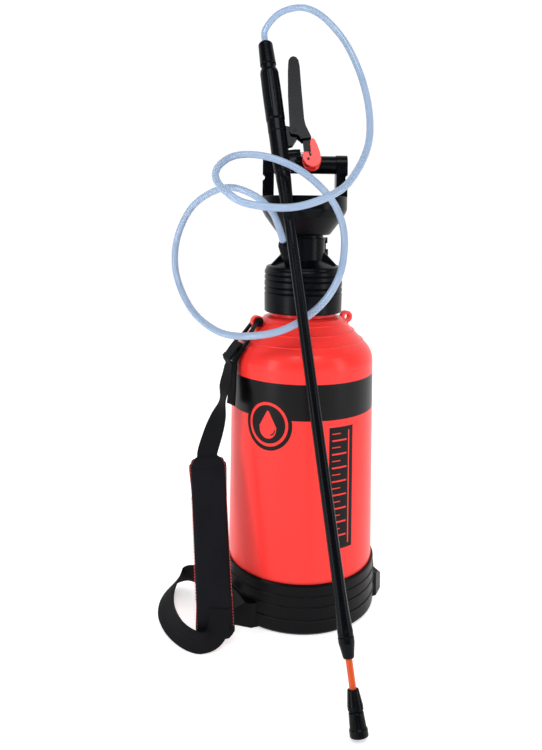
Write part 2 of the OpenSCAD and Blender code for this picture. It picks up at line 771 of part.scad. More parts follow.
// A flat band swept along line p, as wide as w across each side vector
module band(p, side, w, t) {
    last = len(p) - 1;
    points = [for (i = [0:last]) let (h = heading(p, i), u = unit(side[i] - (side[i] * h) * h),
              n = cross(h, u))
              for (c = [[-1, -1], [1, -1], [1, 1], [-1, 1]]) p[i] + c[0] * w / 2 * u + c[1] * t / 2 * n];
    walls = [for (i = [0:last - 1]) for (k = [0:3]) let (m = (k + 1) % 4)
             each [[i * 4 + k, (i + 1) * 4 + k, (i + 1) * 4 + m], [i * 4 + k, (i + 1) * 4 + m, i * 4 + m]]];
    polyhedron(points, concat(walls, [[0, 1, 2, 3]],
                              [[last * 4 + 3, last * 4 + 2, last * 4 + 1, last * 4]]));
}

// Centreline of the upper webbing, from the hook's last bar to the pad, and its width direction
upper_route = [
    [-95, -44, 317], [-97, -47, 308], [-99, -52, 292], [-102, -58, 274], [-107, -64, 254],
    [-113, -68, 234], [-119, -72, 213]
];
upper_sides = [
    [0.42, -0.9, 0], [0.45, -0.9, 0], [0.6, -0.8, 0], [0.3, -0.95, 0], [0.8, -0.6, 0], [1, -0.2, 0], [1, 0, 0]
];

module strap_upper() {
    color(black) band(through(upper_route, 2), through(upper_sides, 2), web_w, web_t);
}

tail_route = [[-89, -42.5, 315], [-90, -44, 302], [-90.5, -46, 286], [-92, -48, 266]];
tail_sides = [[0.42, -0.9, 0], [0.42, -0.9, 0], [0.45, -0.9, 0], [0.5, -0.87, 0]];

module strap_tail() {
    color(black) band(through(tail_route, 2), through(tail_sides, 2), web_w - 3, web_t);
}

// The pad leans back a little: its own +Y runs up it
pad_low = [-101.5, -124, 8];
pad_high = [-119, -73, 210];
pad_w = 51;
pad_t = 9;

module shoulder_pad() {
    rise = pad_high - pad_low;
    span = norm(rise);
    color(black) translate(pad_low)
        rotate([90 - atan2(rise[1], rise[2]), 0, 0])
        rotate([0, 0, -atan2(rise[0], norm([rise[1], rise[2]]))])
        translate([0, 0, -pad_t / 2]) linear_extrude(height = pad_t) union() {
            translate([-pad_w / 2, 14]) square([pad_w, span - 28]);
            translate([-pad_w / 2 + 16, 0]) square([pad_w - 32, span]);
            for (x = [-1, 1]) for (y = [16, span - 16]) translate([x * (pad_w / 2 - 16), y]) circle(r = 16);
        }
}

// Centreline of the lower webbing: out of the pad's foot, round the floor and back to the boot
lower_route = [
    [-106, -130, 13], [-118, -135, 13.5], [-133, -128, 13.5], [-148, -112, 13], [-161, -88, 11.5], [-170, -60, 10],
    [-172, -32, 11], [-166, -8, 14], [-154, 3, 19], [-140, -4, 24], [-128, -22, 27], [-118, -38, 25],
    [-112.5, -46.5, 21]
];
lower_sides = [
    [0, 0, 1], [0.1, 0, 1], [0.2, 0.15, 1], [0.4, 0.25, 1], [0.9, 0.25, 1], [1.3, 0.1, 1], [1.2, -0.3, 1],
    [0.7, -0.6, 1], [0.1, -0.4, 1], [-0.1, -0.1, 1], [-0.1, 0.4, 1], [-0.3, 0.7, 0.7], [-0.5, 0.85, 0.2]
];

module strap_lower() {
    color(black) band(through(lower_route, 2), through(lower_sides, 2), web_w, web_t);
}

tank_shell();
boot();
pump_collar();
collar_seal();
pump_cylinder();
rod_guide();
check_valve();
pump_rod();
piston();
piston_ring();
handle_bowl();
handle_arms();
grip_sleeve();
relief_body();
relief_stem();
relief_spring();
hose_nipple();
hose_nut();
dip_tube();
strainer();
hose();
hose_cap();
wand_grip();
grip_filter();
valve_body();
valve_gland();
valve_stem();
valve_spring();
trigger_lever();
lever_pin();
lock_clip();
clip_pin();
lance_tube();
lance_seal();
lance_nut();
inner_tube();
nozzle_holder();
nozzle_ring();
nozzle_insert();
strap_hook();
hook_pin();
strap_upper();
strap_tail();
shoulder_pad();
strap_lower();
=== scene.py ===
"""Looks of a pump-up garden sprayer: tank, pump, hose, spray wand and shoulder strap.

Everything is in metres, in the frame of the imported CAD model, which carries the moving bodies.
"""

import json
import logging
import math
from dataclasses import dataclass, field
from enum import Enum
from typing import Iterable, Optional, Sequence, Union

import bmesh
import bpy
from mathutils import Matrix, Vector, noise
from mathutils.bvhtree import BVHTree


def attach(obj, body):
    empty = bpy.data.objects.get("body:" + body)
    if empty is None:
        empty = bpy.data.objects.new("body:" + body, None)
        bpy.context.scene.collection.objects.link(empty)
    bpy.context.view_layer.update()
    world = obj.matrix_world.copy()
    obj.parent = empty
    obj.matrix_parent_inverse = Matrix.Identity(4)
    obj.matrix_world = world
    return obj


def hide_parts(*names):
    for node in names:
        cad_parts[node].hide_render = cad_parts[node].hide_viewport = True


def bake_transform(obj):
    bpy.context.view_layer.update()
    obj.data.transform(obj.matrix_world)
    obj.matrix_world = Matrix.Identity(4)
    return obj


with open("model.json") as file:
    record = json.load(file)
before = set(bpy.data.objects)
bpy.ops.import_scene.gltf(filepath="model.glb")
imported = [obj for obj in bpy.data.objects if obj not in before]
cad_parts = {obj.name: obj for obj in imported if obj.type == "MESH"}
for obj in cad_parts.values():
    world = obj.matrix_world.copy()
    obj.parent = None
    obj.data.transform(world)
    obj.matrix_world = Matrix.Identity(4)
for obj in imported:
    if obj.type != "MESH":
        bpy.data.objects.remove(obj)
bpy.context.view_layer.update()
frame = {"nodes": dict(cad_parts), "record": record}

log = logging.getLogger("sprayer")
Colour = tuple[float, float, float]
Number = Union[float, "Wire"]
MM = 0.001


class Body(Enum):
    """Names of the CAD bodies that pieces ride on."""

    TANK = "tank"
    HOOK = "hook"
    WAND = "wand"


class Slot(Enum):
    """Material slots of the record."""

    TANK = "tank_plastic"
    BOOT = "boot_plastic"
    BLACK = "black_plastic"
    CLIP = "clip_plastic"
    ORANGE = "orange_plastic"
    PALE = "pale_plastic"
    RUBBER = "seal_rubber"
    STEEL = "steel"
    HOSE = "hose_vinyl"
    WEBBING = "webbing"
    PAD = "pad_fabric"


# ---- shader maths ----


class Wire:
    """A socket of a node tree, with arithmetic that adds the tree's Math nodes."""

    def __init__(self, tree: "Tree", socket: bpy.types.NodeSocket) -> None:
        """Wraps one output socket."""
        self.tree = tree
        self.socket = socket

    def _math(self, operation: str, *others: Number, first: Optional[Number] = None) -> "Wire":
        """Adds one Math node.

        Args:
            operation: the Math node's operation.
            others: its further inputs.
            first: its first input, where that isn't this wire.

        Returns:
            The node's value.
        """
        inputs = [self if first is None else first, *others]
        return self.tree.node("ShaderNodeMath", {"operation": operation}, dict(enumerate(inputs)))

    def __add__(self, other: Number) -> "Wire":
        """Sum."""
        return self._math("ADD", other)

    __radd__ = __add__

    def __sub__(self, other: Number) -> "Wire":
        """Difference."""
        return self._math("SUBTRACT", other)

    def __rsub__(self, other: float) -> "Wire":
        """Difference, from a number."""
        return self._math("SUBTRACT", self, first=other)

    def __mul__(self, other: Number) -> "Wire":
        """Product."""
        return self._math("MULTIPLY", other)

    __rmul__ = __mul__

    def __truediv__(self, other: Number) -> "Wire":
        """Quotient."""
        return self._math("DIVIDE", other)

    def __neg__(self) -> "Wire":
        """Negative."""
        return self * -1.0

    def __abs__(self) -> "Wire":
        """Absolute value."""
        return self._math("ABSOLUTE")

    def sin(self) -> "Wire":
        """Sine, of radians."""
        return self._math("SINE")

    def root(self) -> "Wire":
        """Square root."""
        return self._math("SQRT")

    def high(self, other: Number) -> "Wire":
        """The larger of the two."""
        return self._math("MAXIMUM", other)

    def low(self, other: Number) -> "Wire":
        """The smaller of the two."""
        return self._math("MINIMUM", other)

    def repeat(self, period: float) -> "Wire":
        """Distance from the middle of the nearest period, from 0 to period / 2."""
        return self._math("PINGPONG", period / 2)

    def angle(self, other: "Wire") -> "Wire":
        """Arc tangent of this over the other."""
        return self._math("ARCTAN2", other)

    def below(self, edge: Number, soft: float) -> "Wire":
        """A mask: 1 where this is under the edge, with a soft border.

        Args:
            edge: the border's place.
            soft: the border's width.

        Returns:
            The mask, from 0 to 1.
        """
        return self.tree.clamp((edge - self) / soft + 0.5)

    def above(self, edge: Number, soft: float) -> "Wire":
        """A mask: 1 where this is over the edge, with a soft border."""
        return self.tree.clamp((self - edge) / soft + 0.5)

    def within(self, low: float, high: float, soft: float) -> "Wire":
        """A mask: 1 between the two edges, with soft borders."""
        return self.above(low, soft) * self.below(high, soft)


class Tree:
    """The node tree of one material, built by expressions."""

    def __init__(self, name: str) -> None:
        """Makes the material and empties its tree.

        Args:
            name: the name it gets.
        """
        self.material = bpy.data.materials.new(name)
        self.material.use_nodes = True
        self.nodes = self.material.node_tree.nodes
        self.links = self.material.node_tree.links
        self.nodes.clear()

    def node(self, kind: str, settings: dict[str, object], inputs: dict[Union[int, str], object],
             output: Union[int, str] = 0) -> Wire:
        """Adds any node.

        Args:
            kind: the node's type.
            settings: its properties, set before its inputs.
            inputs: values or wires of its sockets, by index or name.
            output: the output that is wanted.

        Returns:
            That output as a wire.
        """
        made = self.nodes.new(kind)
        for key, value in settings.items():
            if key == "stops":
                ramp = made.color_ramp
                while len(ramp.elements) < len(value):
                    ramp.elements.new(0.5)
                for element, (place, colour) in zip(ramp.elements, value):
                    element.position = place
                    element.color = (*colour, 1.0)
            else:
                setattr(made, key, value)
        for key, value in inputs.items():
            self.plug(made.inputs[key], value)
        return Wire(self, made.outputs[output])

    def plug(self, socket: bpy.types.NodeSocket, value: object) -> None:
        """Sets or links one input socket.

        Args:
            socket: the socket to set.
            value: the number, colour or wire it gets.
        """
        if isinstance(value, Wire):
            self.links.new(value.socket, socket)
        elif isinstance(value, tuple) and len(value) == 3 and socket.type == "RGBA":
            socket.default_value = (*value, 1.0)
        else:
            socket.default_value = value

    def clamp(self, value: Wire) -> Wire:
        """The value held between 0 and 1."""
        return self.node("ShaderNodeClamp", {}, {0: value, 1: 0.0, 2: 1.0})

    def place(self) -> tuple[Wire, Wire, Wire, Wire]:
        """The point on the object: as one vector, and as x, y and z.

        Returns:
            The point and its three coordinates.
        """
        point = self.node("ShaderNodeTexCoord", {}, {}, "Object")
        split = self.nodes.new("ShaderNodeSeparateXYZ")
        self.links.new(point.socket, split.inputs[0])
        return (point, *(Wire(self, split.outputs[i]) for i in range(3)))

    def sheet_place(self) -> tuple[Wire, Wire, Wire]:
        """The piece's own UV map: as one vector, and as u and v.

        Returns:
            The object's point and the two map coordinates.
        """
        point = self.node("ShaderNodeUVMap", {"uv_map": "lie"}, {}, 0)
        split = self.nodes.new("ShaderNodeSeparateXYZ")
        self.links.new(point.socket, split.inputs[0])
        return (point, Wire(self, split.outputs[0]), Wire(self, split.outputs[1]))

    def grain(self, point: Wire, scale: float, detail: float = 3.0, rough: float = 0.5,
              warp: float = 0.0) -> Wire:
        """Noise from 0 to 1.

        Args:
            point: where it is read.
            scale: its grains per metre.
            detail: its octaves.
            rough: how strong the finer octaves are.
            warp: how far it is distorted.

        Returns:
            The noise.
        """
        return self.node("ShaderNodeTexNoise", {}, {
            "Vector": point, "Scale": scale, "Detail": detail, "Roughness": rough, "Distortion": warp})

    def cells(self, point: Wire, scale: float) -> Wire:
        """Distance to the nearest cell centre."""
        return self.node("ShaderNodeTexVoronoi", {}, {"Vector": point, "Scale": scale}, "Distance")

    def stretch(self, point: Wire, scale: Colour, turn: Colour = (0.0, 0.0, 0.0)) -> Wire:
        """The point turned and scaled along its axes."""
        return self.node("ShaderNodeMapping", {}, {"Vector": point, "Rotation": turn, "Scale": scale})

    def blend(self, factor: Number, first: object, second: object, way: str = "MIX") -> Wire:
        """Mixes two colours.

        Args:
            factor: how much of the second one shows.
            first: the value shown at 0.
            second: the value shown at 1.
            way: the mixing way.

        Returns:
            The mixed wire.
        """
        mixed = self.nodes.new("ShaderNodeMix")
        mixed.data_type = "RGBA"
        mixed.blend_type = way
        sockets = (mixed.inputs[0], mixed.inputs[6], mixed.inputs[7])
        for socket, value in zip(sockets, (factor, first, second)):
            self.plug(socket, value)
        return Wire(self, mixed.outputs[2])

    def surface(self, base: object, rough: object, height: Optional[Wire] = None, depth: float = 0.0,
                edge: float = 0.0, **fixed: object) -> bpy.types.Material:
        """Ends the tree in a Principled shader.

        Args:
            base: the base colour, a colour or a wire.
            rough: the roughness, a number or a wire.
            height: the bump's height, from 0 to 1.
            depth: how deep the bump is, in metres.
            edge: radius by which sharp edges look rounded, in metres.
            fixed: further sockets of the shader that are the same all over.

        Returns:
            The material.
        """
        shader = self.nodes.new("ShaderNodeBsdfPrincipled")
        self.plug(shader.inputs["Base Color"], base)
        self.plug(shader.inputs["Roughness"], rough)
        for name, value in fixed.items():
            self.plug(shader.inputs[name.replace("_", " ")], value)
        normal: Optional[Wire] = None
        if edge > 0:
            normal = self.node("ShaderNodeBevel", {"samples": 4}, {"Radius": edge})
        if height is not None:
            bump = {"Strength": 1.0, "Distance": depth, "Height": height}
            if normal is not None:
                bump["Normal"] = normal
            normal = self.node("ShaderNodeBump", {}, bump)
        if normal is not None:
            self.plug(shader.inputs["Normal"], normal)
        out = self.nodes.new("ShaderNodeOutputMaterial")
        self.links.new(shader.outputs[0], out.inputs[0])
        return self.material


# ---- finishes ----


@dataclass(frozen=True)
class Moulded:
    """Injection-moulded plastic: fine grain, slight mottling, dust in the grain and softened edges."""

    name: str
    colour: Colour
    rough: float = 0.38
    grain_scale: float = 1600.0
    grain_depth: float = 0.00006
    dust: float = 0.10
    edge: float = 0.0007
    gloss: float = 0.5

    def material(self) -> bpy.types.Material:
        """Builds the material.

        Returns:
            The material.
        """
        t = Tree(self.name)
        point = t.place()[0]
        mottle = t.grain(point, 34.0, 4.0, 0.6)
        fine = t.grain(point, self.grain_scale, 2.0, 0.6)
        scuff = t.grain(t.stretch(point, (60.0, 60.0, 900.0)), 1.0, 3.0, 0.65, 0.4).above(0.63, 0.10)
        worn = tuple(min(1.0, c * 1.5 + 0.015) for c in self.colour)
        deep = tuple(c * 0.72 for c in self.colour)
        base = t.blend(mottle, deep, self.colour)
        base = t.blend(scuff * self.dust, base, worn)
        rough = self.rough - 0.05 + mottle * 0.10 + fine * 0.05 + scuff * 0.10
        return t.surface(base, rough, fine * 0.6 + mottle * 0.8, self.grain_depth, self.edge,
                         Specular_IOR_Level=self.gloss)


@dataclass(frozen=True)
class PrintedTank:
    """Blow-moulded tank plastic with a printed band, a drop pictogram and a level scale."""

    name: str = "coral_blown_plastic"
    colour: Colour = (0.97, 0.045, 0.038)
    ink: Colour = (0.0012, 0.0012, 0.0018)
    radius: float = 0.0945
    band: tuple[float, float] = (0.259, 0.303)
    disc: tuple[float, float] = (-0.0473, 0.2517)
    disc_r: float = 0.032
    scale_bar: tuple[float, float] = (0.031, 0.066)
    scale_top: float = 0.250
    scale_low: float = 0.100

    def material(self) -> bpy.types.Material:
        """Builds the material.

        Returns:
            The material.
        """
        t = Tree(self.name)
        point, x, y, z = t.place()
        along = x.angle(-y) * self.radius
        soft = 0.0004
        band = z.within(self.band[0], self.band[1], soft)
        u = along - self.disc[0]
        v = z - self.disc[1]
        reach = (u * u + v * v).root()
        disc = reach.below(self.disc_r, soft)
        ring = reach.within(self.disc_r - 0.0086, self.disc_r - 0.0050, soft)
        # a drop: a circle below, and two arcs that meet in a tip above
        belly = (u * u + (v + 0.006) * (v + 0.006)).root().below(0.0115, soft)
        tip = (abs(u) + (v + 0.001) * 0.56).below(0.0108, soft) * v.above(-0.004, soft)
        drop = belly.high(tip * v.below(0.0165, soft))
        glint = ((u - 0.004) * (u - 0.004) + (v + 0.007) * (v + 0.007)).root().within(0.0046, 0.0062, soft)
        drop = drop * (1.0 - glint * u.above(0.004, soft) * v.below(-0.006, soft))
        # the level scale: a bar with long and short marks, and a row of dots beside it
        bar = along.within(self.scale_bar[0], self.scale_bar[1], soft) * z.within(
            self.scale_low, self.scale_top, soft)
        rung = (z - self.scale_low).repeat(0.0167)
        half = (z - self.scale_low + 0.00835).repeat(0.0167)
        long_mark = rung.below(0.0010, soft) * along.within(self.scale_bar[0] + 0.004, 0.056, soft)
        short_mark = half.below(0.0006, soft) * along.within(self.scale_bar[0] + 0.004, 0.047, soft)
        slit = along.within(0.0586, 0.0604, soft) * z.within(
            self.scale_low + 0.005, self.scale_top - 0.005, soft)
        marks = long_mark.high(short_mark).high(slit) * z.within(
            self.scale_low + 0.005, self.scale_top - 0.005, soft)
        ink = band.high(disc).high(bar)
        ink = ink * (1.0 - ring) * (1.0 - drop) * (1.0 - marks * bar)
        # the plastic itself: faint flow lines, thin and thick places, dust near the foot
        flow = t.grain(t.stretch(point, (9.0, 9.0, 2.2)), 1.0, 4.0, 0.55, 0.3)
        fine = t.grain(point, 900.0, 3.0, 0.6)
        waves = t.grain(t.stretch(point, (22.0, 22.0, 14.0)), 1.0, 2.0, 0.5)
        deep = tuple(c * k for c, k in zip(self.colour, (0.90, 0.72, 0.72)))
        base = t.blend(flow, deep, self.colour)
        grime = (z.below(0.085, 0.05) * t.grain(point, 120.0, 5.0, 0.7)).above(0.55, 0.3) * 0.25
        base = t.blend(grime, base, (0.45, 0.10, 0.07))
        worn_ink = t.grain(point, 260.0, 4.0, 0.7).above(0.76, 0.04) * 0.5
        base = t.blend(ink * (1.0 - worn_ink), base, self.ink)
        rough = 0.24 + flow * 0.08 + fine * 0.05 + grime * 0.3
        return t.surface(base, rough, waves + fine * 0.05, 0.00022, 0.0006,
                         Subsurface_Weight=0.06, Subsurface_Radius=(0.004, 0.001, 0.001),
                         Subsurface_Scale=1.0, Specular_IOR_Level=0.16,
                         Coat_Weight=0.08 * (1.0 - ink), Coat_Roughness=0.12)


@dataclass(frozen=True)
class BraidedVinyl:
    """Clear blue vinyl hose with a diamond of yarn under its skin."""

    name: str = "braided_blue_vinyl"
    pale: Colour = (0.23, 0.38, 0.62)
    deep: Colour = (0.085, 0.18, 0.38)
    yarn: Colour = (0.66, 0.79, 0.95)
    around: int = 10
    pitch: float = 0.0125

    def material(self) -> bpy.types.Material:
        """Builds the material.

        Returns:
            The material.
        """
        t = Tree(self.name)
        _, u, v = t.sheet_place()
        turn = u * float(self.around)
        run = v / self.pitch * float(self.around) * 0.5
        left = (turn + run).repeat(1.0)
        right = (turn - run).repeat(1.0)
        thread = left.below(0.15, 0.10).high(right.below(0.15, 0.10))
        cloud = t.grain(t.place()[0], 40.0, 3.0, 0.6)
        bead = t.grain(t.place()[0], 900.0, 2.0, 0.5)
        base = t.blend(cloud, self.deep, self.pale)
        base = t.blend(thread * 0.8, base, self.yarn)
        rough = 0.16 + cloud * 0.10 + bead * 0.04
        return t.surface(base, rough, thread * 0.6 + bead * 0.1, 0.00012, 0.0, IOR=1.45,
                         Transmission_Weight=0.22, Coat_Weight=0.4, Coat_Roughness=0.08)


@dataclass(frozen=True)
class Webbing:
    """Woven polypropylene webbing: slanted ribs across, a firm edge, a little fuzz."""

    name: str = "woven_webbing"
    colour: Colour = (0.0022, 0.0024, 0.0034)
    lift: Colour = (0.0110, 0.0115, 0.0140)
    width: float = 0.025
    rib: float = 0.0016

    def material(self) -> bpy.types.Material:
        """Builds the material.

        Returns:
            The material.
        """
        t = Tree(self.name)
        _, u, v = t.sheet_place()
        across = u * self.width
        herring = (across.repeat(0.0066)) * 1.1
        rib = (v + herring).repeat(self.rib) / (self.rib / 2)
        warp = across.repeat(0.0011) / 0.00055
        edge = abs(u - 0.5).above(0.46, 0.02)
        fuzz = t.grain(t.place()[0], 1500.0, 3.0, 0.7)
        height = (1.0 - rib) * 0.6 + (1.0 - warp) * 0.3 + fuzz * 0.25 + edge * 0.4
        # Painted shade: the colour is darker in the grooves between the ribs and lighter on their tops,
        # following the bump; the fuzz adds random fibre tone.
        base = t.blend(t.clamp((1.0 - rib) * 0.5 + fuzz * 0.5 - 0.1), self.colour, self.lift)
        return t.surface(base, 0.62 + fuzz * 0.2, height, 0.00035, 0.0, Specular_IOR_Level=0.08)


@dataclass(frozen=True)
class PadCloth:
    """Closely woven cover of the shoulder pad, read from the pad's own lie."""

    name: str = "pad_cover_cloth"
    colour: Colour = (0.0026, 0.0028, 0.0042)
    lift: Colour = (0.0120, 0.0125, 0.0160)
    thread: float = 0.0009
    turn: float = 0.0

    def material(self) -> bpy.types.Material:
        """Builds the material.

        Returns:
            The material.
        """
        t = Tree(self.name)
        point = t.place()[0]
        laid = t.stretch(point, (1.0, 1.0, 1.0), (0.25, 0.0, 0.07 + self.turn))
        split = t.nodes.new("ShaderNodeSeparateXYZ")
        t.links.new(laid.socket, split.inputs[0])
        x, z = Wire(t, split.outputs[0]), Wire(t, split.outputs[2])
        warp = x.repeat(self.thread) / (self.thread / 2)
        weft = z.repeat(self.thread) / (self.thread / 2)
        check = (x + z).repeat(self.thread * 2.0) / self.thread
        fuzz = t.grain(point, 1300.0, 3.0, 0.7)
        crease = t.grain(t.stretch(point, (50.0, 50.0, 24.0)), 1.0, 3.0, 0.5)
        height = warp * 0.3 + weft * 0.3 + check * 0.2 + fuzz * 0.3 + crease * 0.9
        # Painted shade: the colour is darker in the crease hollows and between the weave's checks, and
        # lighter on their crests, following the bump; the fuzz adds random fibre tone.
        base = t.blend(t.clamp(fuzz * 0.6 + check * 0.2 + crease * 0.4 - 0.2), self.colour, self.lift)
        return t.surface(base, 0.66 + fuzz * 0.18, height, 0.0003, 0.0, Specular_IOR_Level=0.08)


@dataclass(frozen=True)
class Thread:
    """Sewing thread: two plies of bright yarn."""

    name: str = "red_thread"
    colour: Colour = (0.75, 0.045, 0.03)

    def material(self) -> bpy.types.Material:
        """Builds the material.

        Returns:
            The material.
        """
        t = Tree(self.name)
        point, x, _, z = t.place()
        ply = (x + z).repeat(0.0005) / 0.00025
        fuzz = t.grain(point, 3000.0, 2.0, 0.6)
        # Painted shade: the thread is darker in the grooves between its plies, following the bump; the fuzz
        # adds random fibre tone.
        dark = tuple(c * 0.55 for c in self.colour)
        return t.surface(t.blend(t.clamp(ply * 0.6 + fuzz * 0.5), dark, self.colour), 0.5 + fuzz * 0.2,
                         ply + fuzz * 0.4, 0.0001, 0.0, Sheen_Weight=0.2)


@dataclass(frozen=True)
class DrawnSteel:
    """Zinc-bright steel of pins, rods and wire."""

    name: str = "drawn_steel"
    colour: Colour = (0.56, 0.57, 0.59)

    def material(self) -> bpy.types.Material:
        """Builds the material.

        Returns:
            The material.
        """
        t = Tree(self.name)
        point = t.place()[0]
        lines = t.grain(t.stretch(point, (1400.0, 1400.0, 60.0)), 1.0, 3.0, 0.6)
        stain = t.grain(point, 60.0, 4.0, 0.6)
        base = t.blend(stain * 0.5, self.colour, tuple(c * 0.6 for c in self.colour))
        return t.surface(base, 0.24 + lines * 0.14 + stain * 0.08, lines, 0.00003, 0.0002, Metallic=1.0)


@dataclass(frozen=True)
class PaleFloor:
    """Studio floor, almost white."""

    name: str = "studio_floor"
    colour: Colour = (0.93, 0.93, 0.93)

    def material(self) -> bpy.types.Material:
        """Builds the material.

        Returns:
            The material.
        """
        t = Tree(self.name)
        point = t.place()[0]
        dusting = t.grain(point, 6.0, 3.0, 0.5)
        base = t.blend(dusting, self.colour, tuple(c * 0.985 for c in self.colour))
        return t.surface(base, 0.62 + dusting * 0.05, Emission_Color=(1.0, 1.0, 1.0), Emission_Strength=0.5,
                         Specular_IOR_Level=0.1)


FINISHES: dict[Slot, object] = {
    Slot.TANK: PrintedTank(),
    Slot.BOOT: Moulded("boot_black_moulding", (0.0020, 0.0021, 0.0030), 0.34, 1100.0,
                         0.00008, 0.05, 0.0010, 0.10),
    Slot.BLACK: Moulded("black_moulding", (0.0012, 0.0018, 0.0034), 0.24, 1500.0,
                          0.00004, 0.02, 0.0008, 0.10),
    Slot.CLIP: Moulded("coral_moulding", (0.95, 0.040, 0.032), 0.30, 1700.0, 0.00004, 0.05, 0.0008, 0.4),
    Slot.ORANGE: Moulded("orange_tube_plastic", (0.72, 0.085, 0.008), 0.28, 1800.0,
                           0.00004, 0.06, 0.0003, 0.4),
    Slot.PALE: Moulded("natural_moulding", (0.72, 0.72, 0.67), 0.42, 1400.0, 0.00005, 0.05, 0.0004),
    Slot.RUBBER: Moulded("seal_black_rubber", (0.016, 0.016, 0.017), 0.62, 900.0, 0.00006, 0.08, 0.0004),
    Slot.STEEL: DrawnSteel(),
    Slot.HOSE: BraidedVinyl(),
    Slot.WEBBING: Webbing(),
    Slot.PAD: PadCloth(),
}
MATERIALS: dict[Slot, bpy.types.Material] = {slot: finish.material() for slot, finish in FINISHES.items()}


# ---- mesh helpers ----


def dress(piece: bpy.types.Object, slot: Slot, material: Optional[bpy.types.Material] = None) -> None:
    """Gives a new piece its material.

    Args:
        piece: the piece's object.
        slot: the slot whose material it wears when none is given.
        material: the material it wears.
    """
    piece.data.materials.clear()
    piece.data.materials.append(material or MATERIALS[slot])


def smooth_line(points: Sequence[Vector], steps: int) -> list[Vector]:
    """A smooth curve through the points.

    Args:
        points: the points it goes through.
        steps: how many places it has from each point to the next.

    Returns:
        The places along it.
    """
    p = [points[0] * 2 - points[1], *points, points[-1] * 2 - points[-2]]
    line: list[Vector] = []
    for a, b, c, d in zip(p, p[1:], p[2:], p[3:]):
        for k in range(steps):
            t = k / steps
            line.append((b * 2 + (c - a) * t + (a * 2 - b * 5 + c * 4 - d) * t * t
                         + (b * 3 - a - c * 3 + d) * t ** 3) / 2)
    line.append(Vector(points[-1]))
    return line


def headings(line: Sequence[Vector]) -> list[Vector]:
    """Direction of travel at each place of a line."""
    last = len(line) - 1
    return [(line[min(i + 1, last)] - line[max(i - 1, 0)]).normalized() for i in range(len(line))]


def mesh_piece(name: str, verts: Iterable[Vector], faces: Iterable[Sequence[int]],
               uvs: Optional[list[list[tuple[float, float]]]] = None,
               smooth: bool = True) -> bpy.types.Object:
    """Makes a mesh object at the origin.

    Args:
        name: the piece's name.
        verts: its points.
        faces: its faces.
        uvs: for each face, its corners' places on the piece's own map.
        smooth: whether its faces are shaded smoothly.

    Returns:
        The object.
    """
    mesh = bpy.data.meshes.new(name)
    mesh.from_pydata([tuple(v) for v in verts], [], [tuple(f) for f in faces])
    if uvs is not None:
        layer = mesh.uv_layers.new(name="lie")
        for polygon, corners in zip(mesh.polygons, uvs):
            for loop, uv in zip(polygon.loop_indices, corners):
                layer.data[loop].uv = uv
    mesh.polygons.foreach_set("use_smooth", [smooth] * len(mesh.polygons))
    mesh.update()
    piece = bpy.data.objects.new(name, mesh)
    bpy.context.scene.collection.objects.link(piece)
    return piece


def swept(name: str, line: Sequence[Vector], outline: Sequence[tuple[float, float]],
          sides: Sequence[Vector], closed_ends: bool = True) -> bpy.types.Object:
    """Sweeps a closed outline along a line.

    Args:
        name: the piece's name.
        line: the places it follows.
        outline: the section's points, across and out of the band, anticlockwise.
        sides: the across direction at each place.
        closed_ends: whether the two ends are capped.

    Returns:
        The object, with a map whose u goes once round the outline, or across it, and v along the line.
    """
    ways = headings(line)
    verts: list[Vector] = []
    run = [0.0]
    for a, b in zip(line, line[1:]):
        run.append(run[-1] + (b - a).length)
    for place, way, side in zip(line, ways, sides):
        across = (side - way * side.dot(way)).normalized()
        out = way.cross(across)
        verts += [place + across * x + out * y for x, y in outline]
    n = len(outline)
    width = max(x for x, _ in outline) - min(x for x, _ in outline)
    flat = [(x + width / 2) / width for x, _ in outline]
    is_tube = max(y for _, y in outline) > width * 0.3
    faces, uvs = [], []
    for i in range(len(line) - 1):
        for k in range(n):
            m = (k + 1) % n
            faces.append((i * n + k, i * n + m, (i + 1) * n + m, (i + 1) * n + k))
            u0, u1 = (k / n, (k + 1) / n) if is_tube else (flat[k], flat[m])
            uvs.append([(u0, run[i]), (u1, run[i]), (u1, run[i + 1]), (u0, run[i + 1])])
    if closed_ends:
        last = (len(line) - 1) * n
        faces += [tuple(range(n - 1, -1, -1)), tuple(last + k for k in range(n))]
        uvs += [[(flat[k], run[0]) for k in range(n - 1, -1, -1)], [(flat[k], run[-1]) for k in range(n)]]
    return mesh_piece(name, verts, faces, uvs)


def settle(piece: bpy.types.Object) -> None:
    """Turns a piece's modifiers into its plain mesh.

    Args:
        piece: the piece's object.
    """
    bpy.context.view_layer.update()
    graph = bpy.context.evaluated_depsgraph_get()
    mesh = bpy.data.meshes.new_from_object(piece.evaluated_get(graph))
    piece.modifiers.clear()
    piece.data = mesh


def bvh_of(piece: bpy.types.Object) -> BVHTree:
    """A search tree of a piece's faces."""
    return BVHTree.FromPolygons([v.co for v in piece.data.vertices],
                                [tuple(f.vertices) for f in piece.data.polygons])


def carried(line: Sequence[Vector], start: Vector) -> list[Vector]:
    """A side vector carried along a line without twist.

    Args:
        line: the points of the middle line.
        start: the first side direction.

    Returns:
        The side direction at each point.
    """
    side, out = start, []
    for way in headings(line):
        side = (side - way * side.dot(way)).normalized()
        out.append(side)
    return out


def pill(width: float, thick: float) -> list[tuple[float, float]]:
    """Section of a webbing: flat, with rounded edges.

    Args:
        width: the width across.
        thick: the thickness.

    Returns:
        The outline's points.
    """
    w, t = width / 2, thick / 2
    flats = [-0.92, -0.6, -0.2, 0.2, 0.6, 0.92]
    return ([(f * w, -t) for f in flats] + [(w * 0.985, -t * 0.6), (w, 0.0), (w * 0.985, t * 0.6)]
            + [(f * w, t) for f in reversed(flats)]
            + [(-w * 0.985, t * 0.6), (-w, 0.0), (-w * 0.985, -t * 0.6)])


